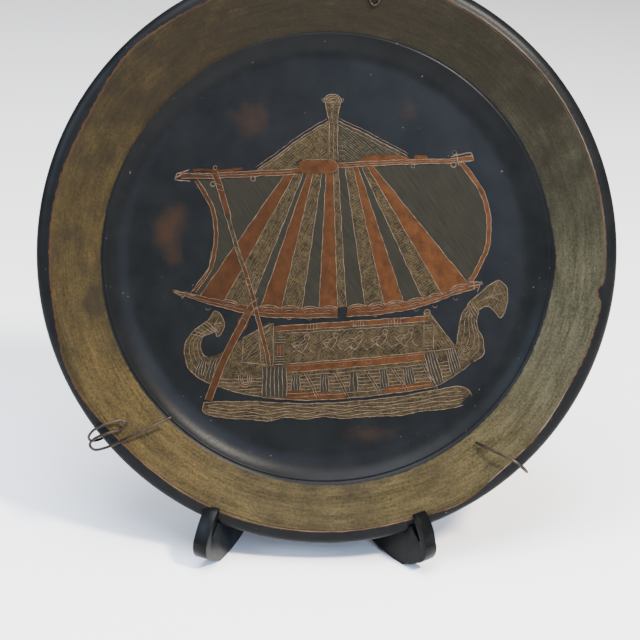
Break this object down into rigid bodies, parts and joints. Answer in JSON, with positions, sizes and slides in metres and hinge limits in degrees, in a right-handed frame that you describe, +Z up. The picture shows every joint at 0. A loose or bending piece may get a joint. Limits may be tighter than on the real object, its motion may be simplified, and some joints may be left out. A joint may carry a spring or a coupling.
{
  "type": "decorative wall plate",
  "caption": "Round patinated metal wall plate with an engraved sailing ship and a brass-coloured rim, in a small black stand, with a wire plate hanger.",
  "frame": {"origin": "on the standing surface, under the middle of the whole object's box", "axes": "+Z up, -Y out of the plate's face towards the viewer, +X to the viewer's right"},
  "size_m": [0.152, 0.0528, 0.1544],
  "materials": {
    "patinated_metal": "satin black patina over brass and copper, worn bright on the rim and the ship",
    "bronze_wire": "dark bronze-brown drawn wire",
    "spring_steel": "plain drawn spring wire",
    "black_plastic": "moulded, satin black"
  },
  "bodies": {
    "root": {"plate": "patinated_metal", "hanger_top_wire": "bronze_wire", "hanger_left_wire": "bronze_wire", "hanger_right_wire": "bronze_wire", "hanger_left_spring": "spring_steel", "hanger_right_spring": "spring_steel", "stand_left_wing": "black_plastic", "stand_right_wing": "black_plastic", "stand_spine": "black_plastic"}
  },
  "joints": []
}
